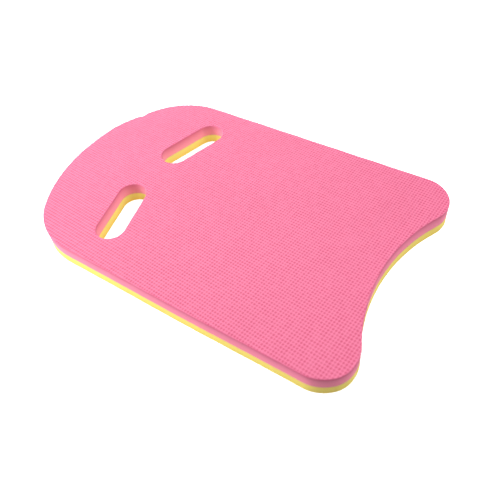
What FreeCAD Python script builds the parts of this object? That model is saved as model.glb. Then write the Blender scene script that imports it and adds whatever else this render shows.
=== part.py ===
import FreeCAD, Part
import Sketcher
import math
import os

# A kickboard float: two foam sheets of different colours, bonded face to face
# and die-cut to one outline with two hand slots.
# +X runs from the nose to the tail and +Z is up. The origin lies on the
# underside, at the middle of the board's length and width.

DIMENSIONS = (
    ("board_length", 450, "mm, tip of the nose to the points of the tail"),
    ("board_width", 297, "mm, across the tail, the widest part"),
    ("lower_thickness", 11.6, "mm, yellow foam sheet"),
    ("film_thickness", 0.2, "mm, adhesive between the two sheets"),
    ("upper_thickness", 15.2, "mm, pink foam sheet"),
    ("nose_radius", 200, "mm, round of the nose"),
    ("shoulder_radius", 88, "mm, bend from the nose into a side"),
    ("side_taper", 0.2, "degrees that each side closes in towards the nose"),
    ("corner_radius", 37, "mm, round of a tail corner"),
    ("tail_radius", 214, "mm, hollow of the tail, where the body rests"),
    ("slot_length", 92, "mm, end to end of a hand slot"),
    ("slot_width", 35, "mm, across a hand slot"),
    ("slot_setback", 123.2, "mm, tip of the nose to the middle of a slot"),
    ("slot_spacing", 139.8, "mm, middle of one slot to the middle of the other"),
    ("slot_sweep", 15.5, "degrees that a slot's outer end leans towards the tail"),
    ("rim_radius", 1.2, "mm, softened edge of the two outer faces"),
    ("nose_reach", "=board_length / 2", "mm, middle of the board to the tip of the nose"),
    ("corner_along", "=board_length / 2 - corner_radius", "mm, middle of the board to a corner's middle"),
    ("corner_across", "=board_width / 2 - corner_radius", "mm, centre line to a corner's middle"),
    ("slot_round", "=slot_width / 2", "mm, round of a slot's end"),
    ("slot_spine", "=slot_length - slot_width", "mm, between the middles of a slot's end rounds"),
    ("slot_lean", "=90 - slot_sweep", "degrees from the centre line to a slot's spine"),
    ("slot_along", "=board_length / 2 - slot_setback", "mm, middle of the board to the middle of a slot"),
    ("slot_across", "=slot_spacing / 2", "mm, centre line to the middle of a slot"),
)

START, END, CENTRE = 1, 2, 3
ORIGIN = (-1, 1)
X_AXIS = -1
UP = FreeCAD.Vector(0, 0, 1)
STEPS = ("pad", "slot_pocket", "whole")
FLATNESS = 1e-4


def add_sheet(doc):
    """Makes the sheet of driving dimensions and returns their values."""
    sheet = doc.addObject("Spreadsheet::Sheet", "Dimensions")
    for row, (alias, value, meaning) in enumerate(DIMENSIONS, start=1):
        sheet.set(f"A{row}", alias)
        sheet.set(f"B{row}", str(value))
        sheet.set(f"C{row}", meaning)
        sheet.setAlias(f"B{row}", alias)
    doc.recompute()
    return {alias: float(sheet.get(alias)) for alias, _, _ in DIMENSIONS}


def origin_plane(body, role):
    """Returns one of the body's own origin planes."""
    return next(plane for plane in body.Origin.OriginFeatures if plane.Role == role)


def add_sketch(body, name):
    """Adds an empty sketch on the body's XY plane."""
    sketch = body.newObject("Sketcher::SketchObject", name)
    sketch.AttachmentSupport = [(origin_plane(body, "XY_Plane"), "")]
    sketch.MapMode = "FlatFace"
    return sketch


def polar(radius, degrees):
    """Returns the vector of this length and direction in the XY plane."""
    return FreeCAD.Vector(radius * math.cos(math.radians(degrees)), radius * math.sin(math.radians(degrees)))


def add_line(sketch, start, end, construction=False):
    return sketch.addGeometry(Part.LineSegment(start, end), construction)


def add_arc(sketch, centre, start, end):
    """Adds the arc that runs anticlockwise around centre from start to end."""
    circle = Part.Circle(centre, UP, centre.distanceToPoint(start))
    return sketch.addGeometry(Part.ArcOfCircle(circle, circle.parameter(start), circle.parameter(end)))


def join(sketch, kind, first, second):
    """Joins two ends, each a (geometry, point) pair."""
    sketch.addConstraint(Sketcher.Constraint(kind, *first, *second))


def dimension(sketch, size, alias, kind, *geometry):
    """Adds a sketch dimension that follows the sheet's value of the same name."""
    value = math.radians(size[alias]) if kind == "Angle" else size[alias]
    index = sketch.addConstraint(Sketcher.Constraint(kind, *geometry, value))
    sketch.renameConstraint(index, alias)
    sketch.setExpression(f"Constraints.{alias}", f"Dimensions.{alias}")


def draw_half_outline(sketch, size):
    """Draws the half of the board on the +Y side of its centre line.

    The edge runs from the tip of the nose through the shoulder, the side and
    the tail corner to the middle of the hollow tail, every arc tangent to the next.
    """
    nose_radius = size["nose_radius"]
    shoulder_radius = size["shoulder_radius"]
    corner_radius = size["corner_radius"]
    tail_radius = size["tail_radius"]
    taper = size["side_taper"]
    along = polar(1, taper)
    outward = polar(1, taper + 90)

    nose_centre = FreeCAD.Vector(nose_radius - size["nose_reach"])
    corner_centre = FreeCAD.Vector(size["corner_along"], size["corner_across"])
    tail_reach = math.sqrt((tail_radius + corner_radius) ** 2 - corner_centre.y ** 2)
    tail_centre = FreeCAD.Vector(corner_centre.x + tail_reach)
    side_rear = corner_centre + outward * corner_radius
    inset = side_rear - outward * shoulder_radius - nose_centre
    shoulder_run = math.sqrt((nose_radius - shoulder_radius) ** 2 - inset.dot(outward) ** 2)
    shoulder_centre = nose_centre + outward * inset.dot(outward) - along * shoulder_run
    side_front = shoulder_centre + outward * shoulder_radius
    shoulder_front = nose_centre + (shoulder_centre - nose_centre).normalize() * nose_radius
    corner_rear = corner_centre + (tail_centre - corner_centre).normalize() * corner_radius
    nose_tip = nose_centre - FreeCAD.Vector(nose_radius)
    tail_middle = tail_centre - FreeCAD.Vector(tail_radius)

    nose = add_arc(sketch, nose_centre, shoulder_front, nose_tip)
    shoulder = add_arc(sketch, shoulder_centre, side_front, shoulder_front)
    side = add_line(sketch, side_front, side_rear)
    corner = add_arc(sketch, corner_centre, corner_rear, side_rear)
    tail = add_arc(sketch, tail_centre, corner_rear, tail_middle)
    middle = add_line(sketch, tail_middle, nose_tip)

    join(sketch, "Tangent", (nose, START), (shoulder, END))
    join(sketch, "Tangent", (shoulder, START), (side, START))
    join(sketch, "Tangent", (side, END), (corner, END))
    join(sketch, "Tangent", (corner, START), (tail, START))
    join(sketch, "Coincident", (tail, END), (middle, START))
    join(sketch, "Coincident", (middle, END), (nose, END))
    for piece, point in ((nose, CENTRE), (tail, CENTRE), (middle, START), (middle, END)):
        sketch.addConstraint(Sketcher.Constraint("PointOnObject", piece, point, X_AXIS))
    dimension(sketch, size, "nose_reach", "DistanceX", nose, END, *ORIGIN)
    dimension(sketch, size, "nose_radius", "Radius", nose)
    dimension(sketch, size, "shoulder_radius", "Radius", shoulder)
    dimension(sketch, size, "side_taper", "Angle", side)
    dimension(sketch, size, "corner_radius", "Radius", corner)
    dimension(sketch, size, "corner_along", "DistanceX", *ORIGIN, corner, CENTRE)
    dimension(sketch, size, "corner_across", "DistanceY", *ORIGIN, corner, CENTRE)
    dimension(sketch, size, "tail_radius", "Radius", tail)


def draw_hand_slot(sketch, size):
    """Draws the round-ended hand slot on the +Y side of the centre line."""
    slot_middle = FreeCAD.Vector(-size["slot_along"], size["slot_across"])
    half_run = polar(size["slot_spine"] / 2, size["slot_lean"])
    across = polar(size["slot_round"], size["slot_lean"] - 90)
    outer_centre = slot_middle + half_run
    inner_centre = slot_middle - half_run

    outer = add_arc(sketch, outer_centre, outer_centre + across, outer_centre - across)
    front = add_line(sketch, outer_centre - across, inner_centre - across)
    inner = add_arc(sketch, inner_centre, inner_centre - across, inner_centre + across)
    rear = add_line(sketch, inner_centre + across, outer_centre + across)
    spine = add_line(sketch, inner_centre, outer_centre, construction=True)
    middle = sketch.addGeometry(Part.Point(slot_middle), True)

    join(sketch, "Tangent", (outer, END), (front, START))
    join(sketch, "Tangent", (front, END), (inner, START))
    join(sketch, "Tangent", (inner, END), (rear, START))
    join(sketch, "Tangent", (rear, END), (outer, START))
    join(sketch, "Coincident", (spine, START), (inner, CENTRE))
    join(sketch, "Coincident", (spine, END), (outer, CENTRE))
    sketch.addConstraint(Sketcher.Constraint("Equal", inner, outer))
    sketch.addConstraint(Sketcher.Constraint("Symmetric", spine, START, spine, END, middle, START))
    dimension(sketch, size, "slot_round", "Radius", outer)
    dimension(sketch, size, "slot_spine", "Distance", spine)
    dimension(sketch, size, "slot_lean", "Angle", spine)
    dimension(sketch, size, "slot_along", "DistanceX", middle, START, *ORIGIN)
    dimension(sketch, size, "slot_across", "DistanceY", *ORIGIN, middle, START)


def rim_edges(shape, height):
    """Names the edges that lie in the flat face at this height."""
    return [
        f"Edge{number}"
        for number, edge in enumerate(shape.Edges, start=1)
        if max(abs(edge.BoundBox.ZMin - height), abs(edge.BoundBox.ZMax - height)) < FLATNESS
    ]


def add_layer(doc, name, size, thickness, stack):
    """Adds one die-cut layer: half an outline with its slot, mirrored across the centre line.

    thickness names its dimension, and stack lists the layers that lie below it.
    """
    body = doc.addObject("PartDesign::Body", name)
    body.Label = name
    if stack:
        body.setExpression("Placement.Base.z", " + ".join(f"Dimensions.{layer}" for layer in stack))

    outline = add_sketch(body, f"{name}_half_outline")
    draw_half_outline(outline, size)
    sheet_pad = body.newObject("PartDesign::Pad", f"{name}_pad")
    sheet_pad.Profile = outline
    sheet_pad.setExpression("Length", f"Dimensions.{thickness}")

    slot = add_sketch(body, f"{name}_hand_slot")
    draw_hand_slot(slot, size)
    slot_pocket = body.newObject("PartDesign::Pocket", f"{name}_slot_pocket")
    slot_pocket.Profile = slot
    slot_pocket.Type = "ThroughAll"
    slot_pocket.Reversed = True

    whole = body.newObject("PartDesign::Mirrored", f"{name}_whole")
    whole.Originals = [sheet_pad, slot_pocket]
    whole.MirrorPlane = (origin_plane(body, "XZ_Plane"), [""])
    whole.Refine = True
    body.Tip = whole
    doc.recompute()
    return body


def soften_rim(doc, body, height):
    """Rounds the outline's and the slots' edges around the face at this height in the body."""
    whole = body.Tip
    rim = body.newObject("PartDesign::Fillet", f"{body.Name}_rim")
    rim.Base = (whole, rim_edges(whole.Shape, height))
    rim.setExpression("Radius", "Dimensions.rim_radius")
    body.Tip = rim
    doc.recompute()


def check_model(doc, bodies):
    """Stops the build unless every object is sound and every sketch is fully held."""
    for thing in doc.Objects:
        if "Invalid" in thing.State or "Error" in thing.State:
            raise RuntimeError(f"{thing.Label} did not compute: {thing.State}")
        if thing.TypeId == "Sketcher::SketchObject" and not thing.FullyConstrained:
            raise RuntimeError(f"{thing.Label} is not fully constrained")
    for body in bodies:
        if body.Shape.isNull() or not body.Shape.isValid() or len(body.Shape.Solids) != 1:
            raise RuntimeError(f"{body.Label} is not one sound solid")
        pad, pocket, whole = (doc.getObject(f"{body.Name}_{step}").Shape.Volume for step in STEPS)
        if pocket > pad - FLATNESS or abs(whole / pocket - 2) > FLATNESS:
            raise RuntimeError(f"{body.Label} is missing a hand slot or its mirrored half")


def main():
    doc = FreeCAD.newDocument("kickboard_float")
    size = add_sheet(doc)
    lower = add_layer(doc, "lower_foam_sheet", size, "lower_thickness", [])
    film = add_layer(doc, "bond_film", size, "film_thickness", ["lower_thickness"])
    upper = add_layer(doc, "upper_foam_sheet", size, "upper_thickness", ["lower_thickness", "film_thickness"])
    soften_rim(doc, lower, 0)
    soften_rim(doc, upper, size["upper_thickness"])
    bodies = (lower, film, upper)
    check_model(doc, bodies)
    os.makedirs("parts", exist_ok=True)
    for body in bodies:
        body.Shape.exportStep(f"parts/{body.Label}.step")


main()
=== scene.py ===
import math

import bpy
import numpy as np
from mathutils import Matrix, Vector
from mathutils.geometry import delaunay_2d_cdt


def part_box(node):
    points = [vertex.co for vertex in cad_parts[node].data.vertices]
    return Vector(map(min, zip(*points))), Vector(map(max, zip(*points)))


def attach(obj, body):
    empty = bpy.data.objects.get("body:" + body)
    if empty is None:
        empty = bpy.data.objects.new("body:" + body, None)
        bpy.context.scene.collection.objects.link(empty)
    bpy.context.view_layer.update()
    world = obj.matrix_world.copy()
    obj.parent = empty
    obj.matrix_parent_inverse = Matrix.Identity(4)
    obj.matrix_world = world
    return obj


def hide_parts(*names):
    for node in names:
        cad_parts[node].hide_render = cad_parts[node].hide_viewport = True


# A two-colour foam kickboard. The CAD frame gives the outline and the height of each layer.
# This script cuts the same outline out of embossed foam sheets, in metres.

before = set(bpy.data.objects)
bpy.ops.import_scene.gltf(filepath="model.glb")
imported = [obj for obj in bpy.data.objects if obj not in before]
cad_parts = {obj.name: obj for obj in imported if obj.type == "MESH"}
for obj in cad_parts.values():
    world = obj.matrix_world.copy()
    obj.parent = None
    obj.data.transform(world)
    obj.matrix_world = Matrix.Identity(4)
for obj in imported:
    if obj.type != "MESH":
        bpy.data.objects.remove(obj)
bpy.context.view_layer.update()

MM = 0.001

# The emboss: a grid of small square-ish pits pressed into both outer faces.
PITCH_ALONG = 3.33 * MM
PITCH_ACROSS = 3.70 * MM
EMBOSS_TURN = math.radians(-3.6)
PIT_FLOOR = 0.16  # half the width of a pit's flat floor, in pitches
PIT_DEPTH = 0.5 * MM
PIT_SPREAD = 0.3  # how unequal the pits are, as a share of their depth
LUCK_SEED = 8
LUCK_CELLS = 211  # more pits than the board has along either side
RIDGE_SAG = 0.2  # how far a ridge sags between its crossings, as a share of the pit depth
DRIFT = 0.12  # how much the pit depth drifts across the board
DRIFT_ALONG = 61  # radians per metre
DRIFT_ACROSS = 47
DRIFT_START = 1

# The die-cut edge.
EDGE_STEP = 1.3 * MM  # between the points along the outline
CURVE_STEPS = 8  # of the fine curve, for each edge step
FEWEST_CURVE_STEPS = 4  # between two corners
RIM_INSET = 0.7 * MM
RIM_DROP = 1.4 * MM
RIM_ROWS = 5
FOOT_RIM = 0.6  # the underside's rim against the upper one
RIM_SHADE = 0.85  # how far the outer rim takes on the pits' painted shade, a dark line that fades down the wall
SLOT_RIM_SHADE = 0.25  # the same painted shade, for the slots' rims
WALL_ROWS = 5
WALL_DISH = 0.25 * MM
GLUE_RECESS = 0.12 * MM
STITCH_GAP = 0.5 * MM  # kept free between the outline and the emboss grid

# How the blade strayed: a waver all round, and swells and dips as (place, reach, distance outwards).
WAVER_LENGTH = 38 * MM
WAVER = 0.05 * MM
FEWEST_WAVERS = 3  # round a loop
RIPPLE = 0.6  # a shorter waver on top, against the slow one
RIPPLE_START = 1.3
NOSE_SWELL = ((-0.218, 0.048), 26 * MM, 1.9 * MM)
NOSE_DIP = ((-0.2042, 0.0888), 5 * MM, -2.8 * MM)
SIDE_BOW = ((0.045, -0.148), 75 * MM, 0.75 * MM)
CORNER_SWELL = ((0.221, -0.128), 14 * MM, 0.7 * MM)
STRAYS = (NOSE_SWELL, NOSE_DIP, SIDE_BOW, CORNER_SWELL)

# Tolerances.
SAME_PLACE = 0.001 * MM
SAME_LEVEL = 0.01 * MM
TOUCHING = 1e-9
SHARP_EDGE = math.radians(60)

# The foam's colours: its face; the pits' floors, a darker colour that is painted shade, also used along the
# rims; a cut wall, the cut foam's own paler colour made lighter still as painted light in the slots; and
# the outer walls' darker copy of it, which is painted shade.
PINK = {"face": (0.80, 0.195, 0.335), "pit_shade": (0.58, 0.057, 0.15),
        "cut": (0.97, 0.37, 0.50), "outer_wall_shade": (0.91, 0.262, 0.39)}
YELLOW = {"face": (0.95, 0.79, 0.14), "pit_shade": (0.80, 0.56, 0.07),
          "cut": (0.99, 0.96, 0.26), "outer_wall_shade": (0.99, 0.80, 0.18)}
GLUE = (0.80, 0.40, 0.22)

# The foam's surface. Scales are in features per metre.
PIT_FADE = 1.6  # above 1, the pits' painted shade gathers on their floors
TONE = 0.90  # of the colours, before the patches, the grain and the open cells change it
PATCH_SCALE = 16.0
PATCH_TONE = 0.12
GRAIN_SCALE = 1400.0
GRAIN_TONE = 0.10
GRAIN_RELIEF = 0.5
GRAIN_ROUGHNESS = 0.08
CELL_SCALE = 2600.0
CELL_MIDDLE = 0.45  # the distance from a cell's centre where its tone is neither lighter nor darker
CELL_TONE = 0.16
SKIN_ROUGHNESS = 0.52
CUT_ROUGHNESS = 0.25  # added to the skin's on a cut wall
BUMP_STRENGTH = 0.35
BUMP_HEIGHT = 0.2 * MM
FOAM_IOR = 1.45
GLUE_SCALE = 220.0
GLUE_TONE = 0.85
GLUE_BLOTCH = 0.3
GLUE_ROUGHNESS = 0.5

# The studio.
FLOOR_HALF = 4.0
FLOOR_GAP = 0.5 * MM  # below the board
FLOOR_SEEN = 1.3
FLOOR_GLOW = 0.36
FLOOR_COLOUR = (0.55, 0.55, 0.55)
FLOOR_ROUGHNESS = 0.9
WHITE = (1, 1, 1)
CAMERA_AZIMUTH = 38.31
CAMERA_ELEVATION = 48.72
CAMERA_ROLL = math.radians(-6.69)
CAMERA_DISTANCE = 0.6465
CAMERA_AIM = Vector((0.0507, -0.0288, 0.0))
CAMERA_NEAREST = 0.01
CAMERA_SENSOR = 36
CAMERA_LENS = 40.66
CAMERA_FOCUS = 0.65
CAMERA_STOP = 5.0


# ---------------------------------------------------------------- outline

def cad_loops(node):
    """The edges of a flat CAD layer's upper face as closed loops, the solid always on the left."""
    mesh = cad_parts[node].data
    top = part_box(node)[1].z
    points, index, edges = [], {}, set()

    def number(vertex):
        place = mesh.vertices[vertex].co[:2]
        key = tuple(round(c / SAME_PLACE) for c in place)
        if key not in index:
            index[key] = len(points)
            points.append(place)
        return index[key]

    for face in mesh.polygons:
        if face.normal.z > 0.5 and abs(face.center.z - top) < SAME_LEVEL:
            ring = [number(v) for v in face.vertices]
            edges.update(zip(ring, ring[1:] + ring[:1]))
    following = {a: b for a, b in edges if (b, a) not in edges}
    loops = []
    while following:
        ring = [min(following)]
        while ring[-1] in following:
            ring.append(following.pop(ring[-1]))
        loops.append(np.array([points[i] for i in ring[:-1]]))
    return sorted(loops, key=len, reverse=True)


def smooth_loop(points):
    """Runs a smooth closed curve through a faceted loop's corners, and spaces points along it evenly."""
    ahead, behind = np.roll(points, -1, 0), np.roll(points, 1, 0)
    tangents = (ahead - behind) / np.linalg.norm(ahead - behind, axis=1)[:, None]
    chords = np.linalg.norm(ahead - points, axis=1)
    spans = zip(points, ahead, tangents, np.roll(tangents, -1, 0), chords)
    fine = []
    for start, end, leave, arrive, length in spans:
        steps = max(FEWEST_CURVE_STEPS, round(CURVE_STEPS * length / EDGE_STEP))
        t = np.linspace(0, 1, steps, endpoint=False)[:, None]
        fine.append((2 * t**3 - 3 * t**2 + 1) * start + (t**3 - 2 * t**2 + t) * leave * length
                    + (3 * t**2 - 2 * t**3) * end + (t**3 - t**2) * arrive * length)
    fine = np.concatenate(fine + [points[:1]])
    run = np.concatenate([[0], np.cumsum(np.linalg.norm(np.diff(fine, axis=0), axis=1))])
    stations = np.linspace(0, run[-1], round(run[-1] / EDGE_STEP), endpoint=False)
    return np.stack([np.interp(stations, run, fine[:, axis]) for axis in (0, 1)], axis=1)


def blade_path(loop):
    """Moves a loop the way the blade strayed from it."""
    turn = np.linspace(0, 2 * math.pi, len(loop), endpoint=False)
    waves = max(FEWEST_WAVERS, round(len(loop) * EDGE_STEP / WAVER_LENGTH))
    ripples = 3 * waves - 2
    out = WAVER * (np.sin(waves * turn) + RIPPLE * np.sin(ripples * turn + RIPPLE_START))
    for place, reach, distance in STRAYS:
        away = np.linalg.norm(loop - place, axis=1)
        out += distance * np.exp(-(away / reach) ** 2)
    return loop - inward(loop) * out[:, None]


def inward(loop):
    """The unit vectors that point from each point of a loop into the solid."""
    along = np.roll(loop, -1, 0) - np.roll(loop, 1, 0)
    along /= np.linalg.norm(along, axis=1)[:, None]
    return np.stack([-along[:, 1], along[:, 0]], axis=1)


def inside(points, loops):
    """Which points lie within the outer loop and outside the others."""
    crossings = np.zeros(len(points), int)
    for loop in loops:
        for (x0, y0), (x1, y1) in zip(loop, np.roll(loop, -1, 0)):
            spans = (points[:, 1] < y0) != (points[:, 1] < y1)
            if spans.any():
                reach = x0 + (points[:, 1] - y0) * (x1 - x0) / (y1 - y0)
                crossings += spans & (points[:, 0] < reach)
    return crossings % 2 == 1


def ring_edges(loops):
    """The edges along the loops as pairs of point numbers, with the loops' points numbered in order."""
    pairs, start = [], 0
    for loop in loops:
        ring = list(range(start, start + len(loop)))
        pairs += zip(ring, ring[1:] + ring[:1])
        start += len(loop)
    return pairs


# ---------------------------------------------------------------- emboss

# The grid lines of one cell: a ridge, then the two sides of the pit's floor.
PHASES = np.array([0.0, 0.5 - PIT_FLOOR, 0.5 + PIT_FLOOR])
PITCHES = np.array([PITCH_ALONG, PITCH_ACROSS])
TURN = np.array([[math.cos(EMBOSS_TURN), math.sin(EMBOSS_TURN)],
                 [-math.sin(EMBOSS_TURN), math.cos(EMBOSS_TURN)]])
PIT_LUCK = 1 + PIT_SPREAD * (np.random.default_rng(LUCK_SEED).random((LUCK_CELLS, LUCK_CELLS)) - 0.5)


def to_lattice(points):
    """Places on the board, counted in pits."""
    return points @ TURN.T / PITCHES


def from_lattice(cells):
    """Places counted in pits, on the board."""
    return (cells * PITCHES) @ TURN


def pit_share(points):
    """How far down the pits each point of the face lies.

    It is 0 where ridges cross and about 1 on a pit's floor. No two pits are pressed quite alike.
    """
    cells = to_lattice(points)
    phase = cells % 1.0
    slope = np.clip(np.minimum(phase, 1 - phase) / (0.5 - PIT_FLOOR), 0, 1)
    along, across = slope[:, 0], slope[:, 1]
    row, column = np.floor(cells).astype(int).T
    luck = PIT_LUCK[row % LUCK_CELLS, column % LUCK_CELLS]
    return along * across * luck + RIDGE_SAG * (along + across - 2 * along * across)


def pit_depth(points):
    """How deep the pits around each point are, in metres."""
    drift = np.sin(points[:, 0] * DRIFT_ALONG) * np.sin(points[:, 1] * DRIFT_ACROSS + DRIFT_START)
    return PIT_DEPTH * (1 + DRIFT * drift)


def lattice_grid(loops):
    """The emboss points that cover the outline: their places, the shape of the grid and its first cell."""
    corners = to_lattice(np.concatenate(loops))
    low, high = np.floor(corners.min(0)).astype(int) - 1, np.ceil(corners.max(0)).astype(int) + 1
    lines = [(np.arange(a, b)[:, None] + PHASES).ravel() for a, b in zip(low, high)]
    u, v = np.meshgrid(*lines, indexing="ij")
    return from_lattice(np.stack([u.ravel(), v.ravel()], axis=1)), u.shape, low


def grid_square(points, first_cell):
    """The row and column of the grid square that each point lies in."""
    cells = to_lattice(points)
    before = len(PHASES) * (np.floor(cells) - first_cell).astype(int)
    row, column = (before + np.searchsorted(PHASES, cells % 1.0, side="right") - 1).T
    return row, column


def embossed_face(loops):
    """Covers the region within the loops with quads on the emboss grid, stitched to the loops by triangles.

    Returns the points and faces. The loops' own points come first, in order.
    """
    guard = [loop + inward(loop) * STITCH_GAP for loop in loops]
    grid, shape, first_cell = lattice_grid(loops)
    used = inside(grid, guard).reshape(shape)
    whole = used[:-1, :-1] & used[1:, :-1] & used[1:, 1:] & used[:-1, 1:]
    number = np.arange(len(grid)).reshape(shape)
    corners = [number[:-1, :-1], number[1:, :-1], number[1:, 1:], number[:-1, 1:]]
    kept = number[used]

    edge = np.concatenate(loops)
    points = np.concatenate([edge, grid[kept]])
    place = np.full(len(grid), -1)
    place[kept] = len(edge) + np.arange(len(kept))
    quads = place[np.stack(corners, axis=-1)[whole]]

    # The strip between the quads and the loops holds the border of the quads, and points no quad uses.
    sides = np.concatenate([quads[:, [k, (k + 1) % 4]] for k in range(4)])
    _, first, times = np.unique(np.sort(sides, axis=1), axis=0, return_index=True, return_counts=True)
    border = sides[first[times == 1]]
    loose = np.setdiff1d(place[kept], quads)
    strip = np.concatenate([np.arange(len(edge)), np.unique(border), loose])
    local = {int(point): i for i, point in enumerate(strip)}
    edges = ring_edges(loops) + [(local[a], local[b]) for a, b in border.tolist()]
    found = delaunay_2d_cdt([Vector(points[p]) for p in strip], edges, [], 0, TOUCHING)
    assert len(found[0]) == len(strip), "the stitching moved a point"
    triangles = strip[np.array(found[2])]
    middles = points[triangles].mean(1)
    free = ~whole[grid_square(middles, first_cell)] & inside(middles, loops)
    return points, quads.tolist() + triangles[free].tolist()


def flat_face(loops):
    """Covers the region within the loops with triangles that use only the loops' points."""
    points = np.concatenate(loops)
    found = delaunay_2d_cdt([Vector(p) for p in points], ring_edges(loops), [], 0, TOUCHING)
    triangles = np.array(found[2])
    return triangles[inside(points[triangles].mean(1), loops)].tolist()


# ---------------------------------------------------------------- pieces

def band(loops, upper, lower):
    """The quads between two rows of points that run along every loop, facing out of the solid."""
    return [(upper + here, lower + here, lower + after, upper + after) for here, after in ring_edges(loops)]


def at_height(points, height):
    """Points on the board as places in space."""
    return np.column_stack([points, np.broadcast_to(height, len(points))])


def foam_sheet(name, node, outline, board_top, faces_up):
    """Builds an embossed foam sheet with a softened rim and slightly dished walls in place of a CAD node.

    It is built with its face up and its back at height 0, then moved into place or turned over.
    """
    low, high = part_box(node)
    height = high.z - low.z
    soft = 1 if faces_up else FOOT_RIM
    inset, sink = RIM_INSET * soft, RIM_DROP * soft
    edge = np.concatenate(outline)
    outward = -np.concatenate([inward(loop) for loop in outline])
    outer = np.arange(len(edge)) < len(outline[0])
    # Painted shade: the rim and the top of the wall take on the pits' dark colour, more round the outside
    # than in the slots.
    rim_shade = np.where(outer, RIM_SHADE, SLOT_RIM_SHADE)
    uncut = np.zeros(len(edge))

    points, faces = embossed_face([loop + inward(loop) * inset for loop in outline])
    share = pit_share(points)
    plain = np.zeros(len(points))
    rows = [(at_height(points, height - share * pit_depth(points)), share, plain, plain)]
    for k in range(1, RIM_ROWS + 1):
        turn = 0.5 * math.pi * k / RIM_ROWS
        spot = edge - outward * inset * (1 - math.sin(turn))
        pressed = pit_share(spot) * math.cos(turn) ** 2
        sunk = pressed * PIT_DEPTH
        spot = spot - outward * sunk[:, None] * math.sin(turn)
        level = height - sink * (1 - math.cos(turn)) - sunk * math.cos(turn)
        rows.append((at_height(spot, level), np.maximum(pressed, rim_shade * math.sin(turn)), uncut, outer))
    for k in range(1, WALL_ROWS + 1):
        level = (height - sink) * (1 - k / WALL_ROWS)
        above_floor = low.z + level if faces_up else high.z - level
        dish = WALL_DISH * math.sin(math.pi * above_floor / board_top)
        cut = np.full(len(edge), math.sin(0.5 * math.pi * k / WALL_ROWS))
        # The rim's painted shade fades out down the wall, and the outer walls are marked for their darker
        # colour, which is painted shade.
        rows.append((at_height(edge - outward * dish, level), rim_shade * (1 - k / WALL_ROWS), cut, outer))
    places, pit_shade, cut, outer_wall_shade = [np.concatenate(values) for values in zip(*rows)]

    upper, lower = 0, len(points)
    for _ in range(RIM_ROWS + WALL_ROWS):
        faces += band(outline, upper, lower)
        upper, lower = lower, lower + len(edge)
    faces += [(upper + a, upper + c, upper + b) for a, b, c in flat_face(outline)]

    if faces_up:
        places[:, 2] += low.z
    else:
        places[:, 2] = high.z - places[:, 2]
        faces = [face[::-1] for face in faces]
    return add_piece(name, node, places, faces, {"pit_shade": pit_shade, "cut": cut, "outer_wall_shade": outer_wall_shade})


def bond_line(name, node, outline):
    """Builds the thin bond between the sheets, its edge a little behind the cut walls."""
    low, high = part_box(node)
    loops = [loop + inward(loop) * (GLUE_RECESS + WALL_DISH) for loop in outline]
    edge = np.concatenate(loops)
    places = np.concatenate([at_height(edge, high.z), at_height(edge, low.z)])
    lid = flat_face(loops)
    below = len(edge)
    faces = lid + band(loops, 0, below) + [(below + a, below + c, below + b) for a, b, c in lid]
    return add_piece(name, node, places, faces, {})


def add_piece(name, node, places, faces, shares):
    """Makes a mesh piece that stands for a CAD node, with named values on its points."""
    mesh = bpy.data.meshes.new(name)
    mesh.from_pydata(places.tolist(), [], faces)
    mesh.update()
    for share_name, values in shares.items():
        attribute = mesh.attributes.new(share_name, "FLOAT", "POINT")
        attribute.data.foreach_set("value", values.astype(np.float32))
    mesh.shade_smooth()
    mesh.set_sharp_from_angle(angle=SHARP_EDGE)
    piece = bpy.data.objects.new(name, mesh)
    bpy.context.scene.collection.objects.link(piece)
    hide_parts(node)
    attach(piece, "root")
    return piece


# ---------------------------------------------------------------- materials

class Nodes:
    """Adds and links the shader nodes of one material."""

    MIX_COLOURS = (6, 7)  # the mix node has sockets for other types before these
    MIX_RESULT = 2

    def __init__(self, name):
        self.material = bpy.data.materials.new(name)
        self.material.use_nodes = True
        self.tree = self.material.node_tree
        self.tree.nodes.clear()

    def plug(self, socket, value):
        """Links another node's output to a socket, or gives the socket a plain value."""
        if isinstance(value, bpy.types.NodeSocket):
            self.tree.links.new(value, socket)
        elif socket.type == "RGBA":
            socket.default_value = (*value, 1)
        else:
            socket.default_value = value

    def add(self, kind, settings=None, **inputs):
        """Adds a node. Its inputs are given by name, with _ for a space."""
        node = self.tree.nodes.new(kind)
        for key, value in (settings or {}).items():
            setattr(node, key, value)
        for key, value in inputs.items():
            self.plug(node.inputs[key.replace("_", " ")], value)
        return node

    def math(self, operation, *values):
        node = self.add("ShaderNodeMath", {"operation": operation})
        for socket, value in zip(node.inputs, values):
            self.plug(socket, value)
        return node.outputs[0]

    def mix(self, factor, *colours):
        node = self.add("ShaderNodeMix", {"data_type": "RGBA"}, Factor=factor)
        for number, colour in zip(self.MIX_COLOURS, colours):
            self.plug(node.inputs[number], colour)
        return node.outputs[self.MIX_RESULT]

    def scale(self, colour, factor):
        node = self.add("ShaderNodeVectorMath", {"operation": "SCALE"}, Vector=colour, Scale=factor)
        return node.outputs[0]

    def texture(self, kind, output, **inputs):
        """Adds a texture that is fixed to the object."""
        place = self.add("ShaderNodeTexCoord").outputs["Object"]
        return self.add(kind, Vector=place, **inputs).outputs[output]

    def attribute(self, name):
        return self.add("ShaderNodeAttribute", {"attribute_name": name}).outputs["Fac"]

    def finish(self, surface):
        """Puts the surface on the material and returns the material."""
        self.add("ShaderNodeOutputMaterial", Surface=surface.outputs[0])
        return self.material


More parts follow.
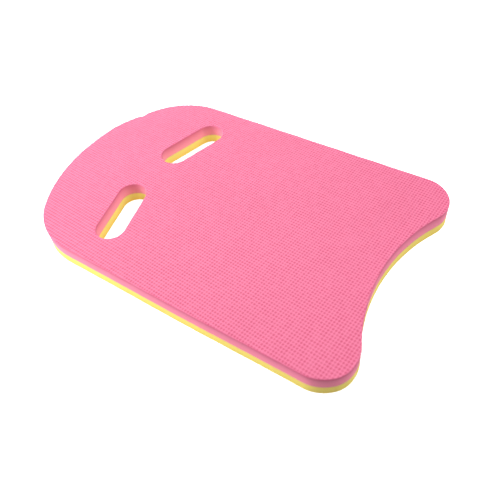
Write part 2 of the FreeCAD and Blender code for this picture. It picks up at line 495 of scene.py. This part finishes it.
def foam_material(name, face, pit_shade, cut, outer_wall_shade):
    """Matte closed-cell foam: embossed skin on the face and open cells on the cut walls, with painted shade
    in the pits, along the rims and on the outer walls, and the slot walls painted lighter.
    """
    n = Nodes(name)
    cut_share = n.attribute("cut")
    patches = n.texture("ShaderNodeTexNoise", "Fac", Scale=PATCH_SCALE, Detail=3.0)
    grain = n.texture("ShaderNodeTexNoise", "Fac", Scale=GRAIN_SCALE, Detail=3.0, Roughness=0.6)
    cells = n.texture("ShaderNodeTexVoronoi", "Distance", Scale=CELL_SCALE)

    # Painted shade: the pit colour darkens the pits' floors and the rims. On the cut walls the slots take
    # the lighter cut colour, painted light, and the outer walls a darker copy, painted shade.
    tint = n.mix(n.math("POWER", n.attribute("pit_shade"), PIT_FADE), face, pit_shade)
    tint = n.mix(cut_share, tint, n.mix(n.attribute("outer_wall_shade"), cut, outer_wall_shade))
    tone = n.math("ADD", TONE, n.math("MULTIPLY", patches, PATCH_TONE))
    tone = n.math("ADD", tone, n.math("MULTIPLY", n.math("SUBTRACT", grain, 0.5), GRAIN_TONE))
    open_tone = n.math("MULTIPLY", cut_share, CELL_TONE)
    tone = n.math("ADD", tone, n.math("MULTIPLY", n.math("SUBTRACT", CELL_MIDDLE, cells), open_tone))

    relief = n.math("ADD", n.math("MULTIPLY", grain, GRAIN_RELIEF), n.math("MULTIPLY", cells, cut_share))
    bump = n.add("ShaderNodeBump", Height=relief, Strength=BUMP_STRENGTH, Distance=BUMP_HEIGHT)
    roughness = n.math("ADD", SKIN_ROUGHNESS, n.math("MULTIPLY", cut_share, CUT_ROUGHNESS))
    roughness = n.math("ADD", roughness, n.math("MULTIPLY", grain, GRAIN_ROUGHNESS))
    return n.finish(n.add("ShaderNodeBsdfPrincipled", Base_Color=n.scale(tint, tone),
                          Roughness=roughness, Normal=bump.outputs["Normal"], IOR=FOAM_IOR))


def glue_material(name, colour):
    """Dull, slightly uneven adhesive."""
    n = Nodes(name)
    blotches = n.texture("ShaderNodeTexNoise", "Fac", Scale=GLUE_SCALE, Detail=2.0)
    tone = n.math("ADD", GLUE_TONE, n.math("MULTIPLY", blotches, GLUE_BLOTCH))
    return n.finish(n.add("ShaderNodeBsdfPrincipled", Base_Color=n.scale(colour, tone),
                          Roughness=GLUE_ROUGHNESS))


def floor_material(name):
    """A pale table that looks white to the camera, and glows only a little on the board."""
    n = Nodes(name)
    seen = n.add("ShaderNodeLightPath").outputs["Is Camera Ray"]
    glow = n.math("ADD", FLOOR_GLOW, n.math("MULTIPLY", seen, FLOOR_SEEN - FLOOR_GLOW))
    return n.finish(n.add("ShaderNodeBsdfPrincipled", Base_Color=FLOOR_COLOUR,
                          Roughness=FLOOR_ROUGHNESS, Emission_Color=WHITE, Emission_Strength=glow))


# ---------------------------------------------------------------- studio

def direction(azimuth, elevation):
    """The unit vector from the board towards these angles, in degrees: azimuth 0 is -Y, 90 is +X."""
    a, e = math.radians(azimuth), math.radians(elevation)
    return Vector((math.sin(a) * math.cos(e), -math.cos(a) * math.cos(e), math.sin(e)))


def add_floor():
    """A wide floor just below the board."""
    mesh = bpy.data.meshes.new("floor")
    corners = [(x * FLOOR_HALF, y * FLOOR_HALF, 0) for x, y in ((-1, -1), (1, -1), (1, 1), (-1, 1))]
    mesh.from_pydata(corners, [], [(0, 1, 2, 3)])
    mesh.materials.append(floor_material("pale_floor"))
    floor = bpy.data.objects.new("floor", mesh)
    bpy.context.scene.collection.objects.link(floor)
    floor.location.z = -FLOOR_GAP


def add_softbox(name, azimuth, elevation, distance, size, watts):
    """A square lamp that faces the board."""
    light = bpy.data.lights.new(name, "AREA")
    light.shape = "SQUARE"
    light.size = size
    light.energy = watts
    lamp = bpy.data.objects.new(name, light)
    bpy.context.scene.collection.objects.link(lamp)
    lamp.location = direction(azimuth, elevation) * distance
    lamp.rotation_euler = (-lamp.location).to_track_quat("-Z", "Y").to_euler()


def add_world():
    """A white room that the camera sees, and that gives no light of its own."""
    world = bpy.data.worlds.new("room")
    bpy.context.scene.world = world
    world.use_nodes = True
    tree = world.node_tree
    back = tree.nodes["Background"]
    back.inputs["Color"].default_value = (*WHITE, 1)
    seen = tree.nodes.new("ShaderNodeLightPath").outputs["Is Camera Ray"]
    tree.links.new(seen, back.inputs["Strength"])


def add_camera():
    """A camera in front of the tail's near corner, looking down the board, rolled a little."""
    back = direction(CAMERA_AZIMUTH, CAMERA_ELEVATION)
    right = (-back).cross(Vector((0, 0, 1))).normalized()
    up = right.cross(-back)
    side = right * math.cos(CAMERA_ROLL) + up * math.sin(CAMERA_ROLL)
    top = up * math.cos(CAMERA_ROLL) - right * math.sin(CAMERA_ROLL)
    data = bpy.data.cameras.new("camera")
    data.sensor_width = CAMERA_SENSOR
    data.lens = CAMERA_LENS
    data.clip_start = CAMERA_NEAREST
    data.dof.use_dof = True
    data.dof.focus_distance = CAMERA_FOCUS
    data.dof.aperture_fstop = CAMERA_STOP
    camera = bpy.data.objects.new("camera", data)
    bpy.context.scene.collection.objects.link(camera)
    turned = Matrix((side, top, back)).transposed()
    camera.matrix_world = Matrix.Translation(CAMERA_AIM + back * CAMERA_DISTANCE) @ turned.to_4x4()
    bpy.context.scene.camera = camera


# ---------------------------------------------------------------- build

board_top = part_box("upper_foam_sheet")[1].z
outline = [blade_path(smooth_loop(loop)) for loop in cad_loops("bond_film")]
pink_sheet = foam_sheet("pink_foam_sheet", "upper_foam_sheet", outline, board_top, True)
yellow_sheet = foam_sheet("yellow_foam_sheet", "lower_foam_sheet", outline, board_top, False)
bond = bond_line("bond_line", "bond_film", outline)
pink_sheet.data.materials.append(foam_material("pink_foam", **PINK))
yellow_sheet.data.materials.append(foam_material("yellow_foam", **YELLOW))
bond.data.materials.append(glue_material("bond", GLUE))

add_floor()
add_world()
add_softbox("back_softbox", azimuth=232, elevation=50, distance=1.5, size=1.7, watts=26.5)
add_softbox("left_softbox", azimuth=-50, elevation=16, distance=0.95, size=0.5, watts=7.5)
add_softbox("high_left_softbox", azimuth=-50, elevation=42, distance=1.4, size=1.0, watts=10.5)
add_softbox("right_softbox", azimuth=118, elevation=34, distance=1.4, size=1.0, watts=13)
add_camera()
bpy.context.scene.view_settings.view_transform = "Standard"
